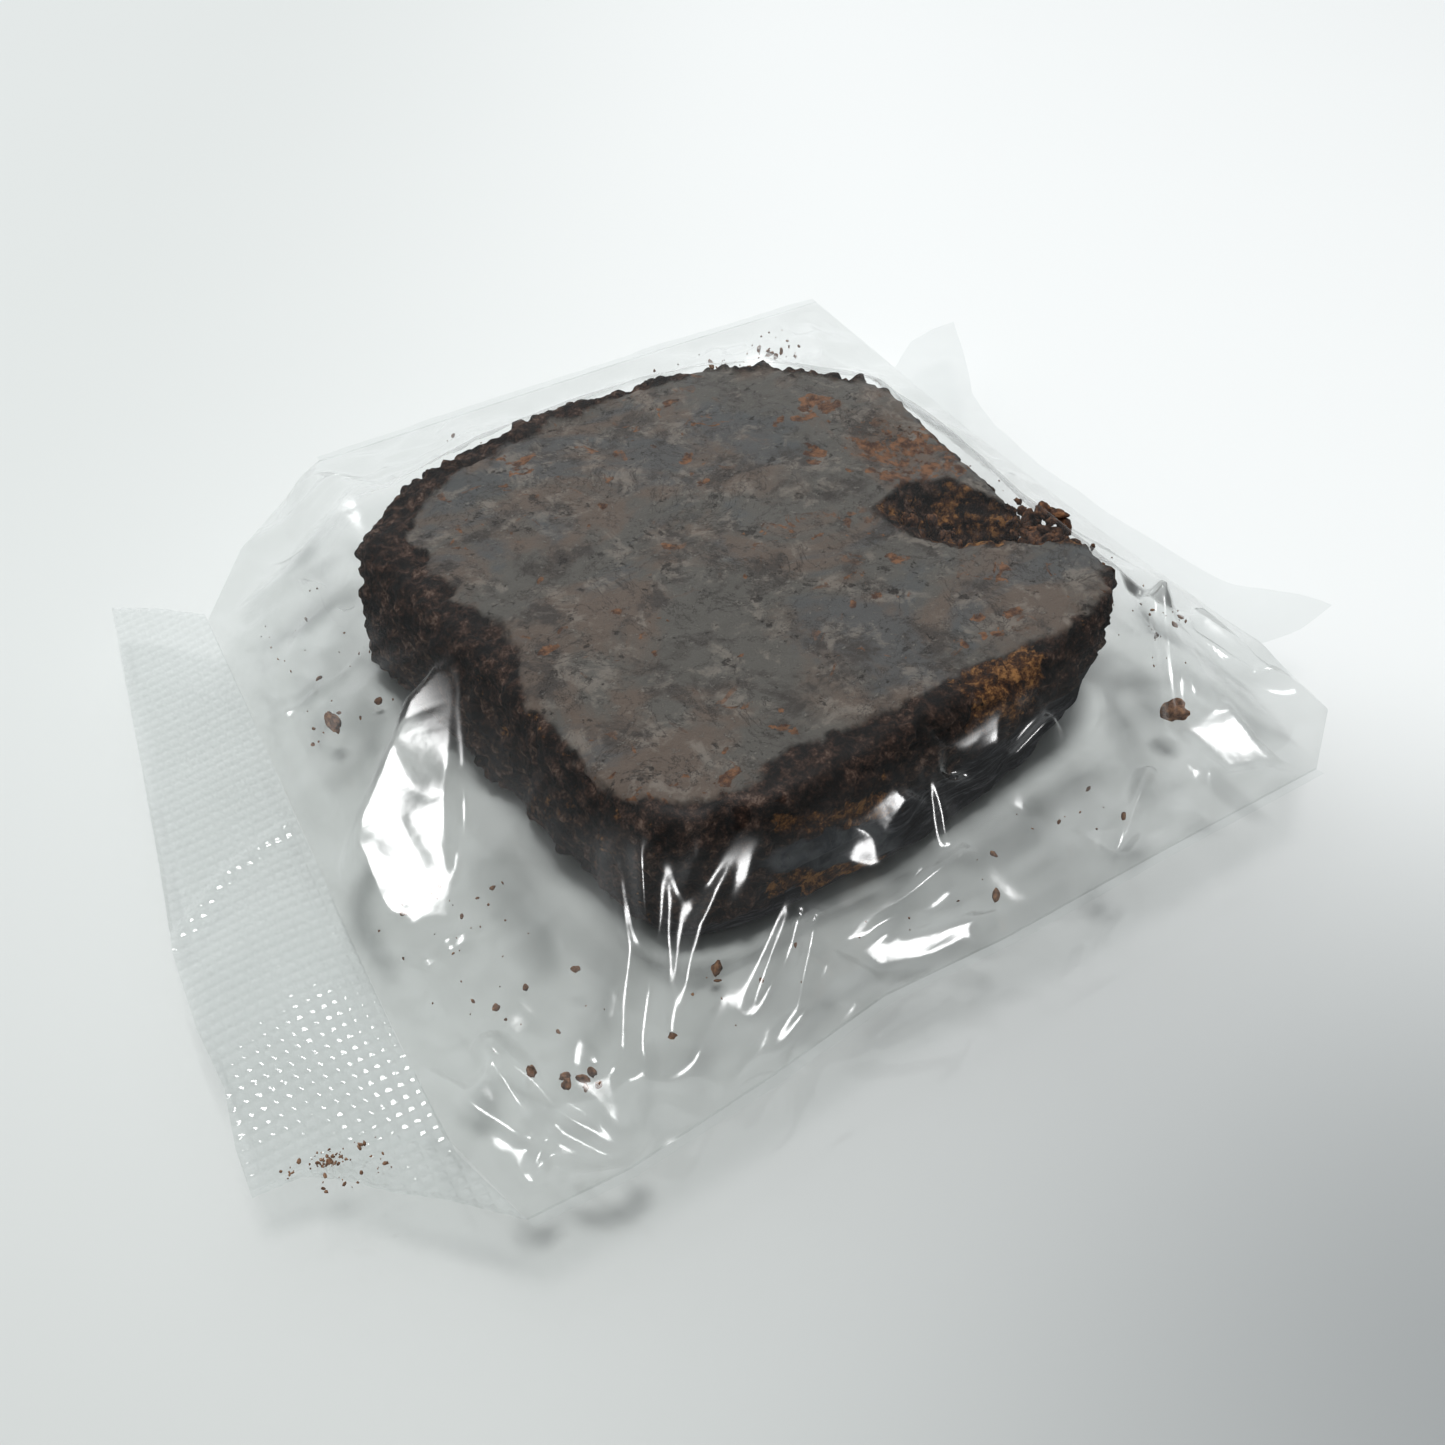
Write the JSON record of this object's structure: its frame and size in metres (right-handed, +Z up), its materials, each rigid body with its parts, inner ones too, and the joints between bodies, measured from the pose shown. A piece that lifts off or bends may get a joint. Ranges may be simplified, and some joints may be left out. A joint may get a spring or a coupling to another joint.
{
  "type": "floral foam brick",
  "caption": "Rounded square block of dark pressed fibre, lying in a clear film bag that is crimped shut at its mouth and welded at its sides and tail.",
  "frame": {"origin": "middle of the footprint, on the floor that the bag lies on", "axes": "+X from the crimped mouth seal towards the tail seal, +Y towards the rear side weld, +Z up"},
  "size_m": [0.1186, 0.0924, 0.0163],
  "materials": {
    "pressed_fibre": "waxy where the film presses on it, coarse and dull on the walls",
    "clear_film": "clear and glossy",
    "welded_film": "clear and glossy",
    "crimped_film": "glossy, embossed all over with small square cells",
    "crumbs": "matte",
    "rust_crumbs": "matte"
  },
  "bodies": {
    "pouch": {"pressed_block": "pressed_fibre", "film_upper": "clear_film", "film_lower": "clear_film", "front_side_weld": "welded_film", "rear_side_weld": "welded_film", "loose_crumbs": "crumbs", "crack_crumbs": "rust_crumbs"},
    "mouth_flap": {"mouth_seal": "crimped_film"},
    "tail_flap": {"tail_seal": "welded_film"}
  },
  "joints": [
    {"name": "mouth_flap_flex", "type": "hinge", "parent": "pouch", "child": "mouth_flap", "pos_m": [-0.04435, -0.0035, 0.006], "axis": [0.0476, 0.9989, 0], "range_deg": [-20, 60], "stiffness_Nm_per_rad": 0.0006},
    {"name": "tail_flap_flex", "type": "hinge", "parent": "pouch", "child": "tail_flap", "pos_m": [0.04448, 0, 0.006], "axis": [0, -1, 0], "range_deg": [-20, 60], "stiffness_Nm_per_rad": 0.0004}
  ]
}
